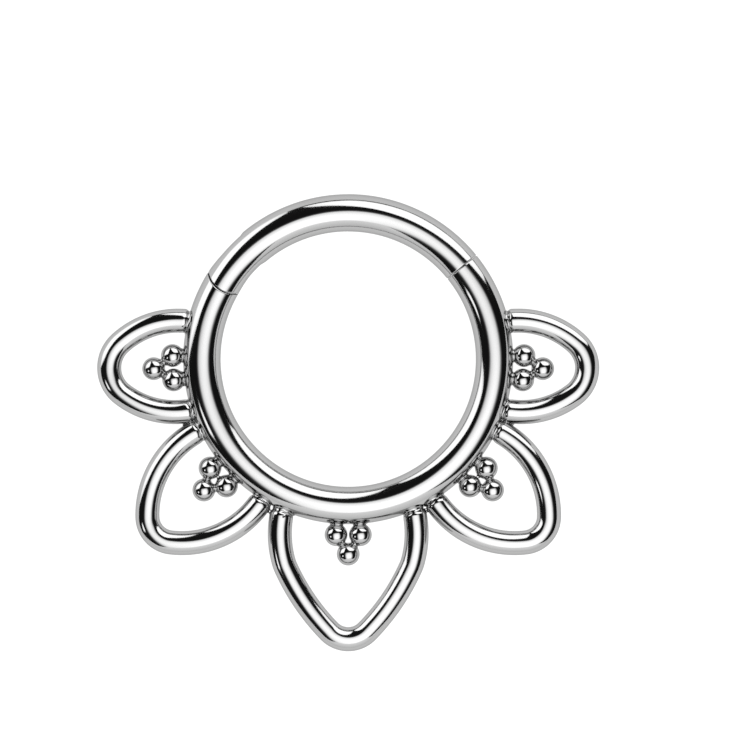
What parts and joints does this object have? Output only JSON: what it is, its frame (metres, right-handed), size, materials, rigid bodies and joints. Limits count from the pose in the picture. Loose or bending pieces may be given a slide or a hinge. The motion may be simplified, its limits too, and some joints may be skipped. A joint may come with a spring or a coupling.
{
  "type": "septum ring",
  "caption": "Hinged steel segment ring with open wire petals and small bead clusters round its lower half, worn through a septum piercing.",
  "frame": {"origin": "centre of the ring's round opening, at mid thickness of the wire", "axes": "+Z out of the ring's front face, +Y towards the hinged segment side, +X towards the closing seam side; the middle petal points along -Y"},
  "size_m": [0.0158, 0.0144, 0.0012],
  "materials": {
    "polished_steel": "mirror-polished surgical steel, uncoated"
  },
  "bodies": {
    "ring_body": {"lower_ring": "polished_steel", "hinge_pin": "polished_steel"},
    "segment": {"hinged_segment": "polished_steel"}
  },
  "joints": [
    {"name": "segment_hinge", "type": "hinge", "parent": "ring_body", "child": "segment", "pos_m": [-0.00352, 0.00311, 0], "axis": [0, 0, 1], "range_deg": [0, 115]}
  ]
}
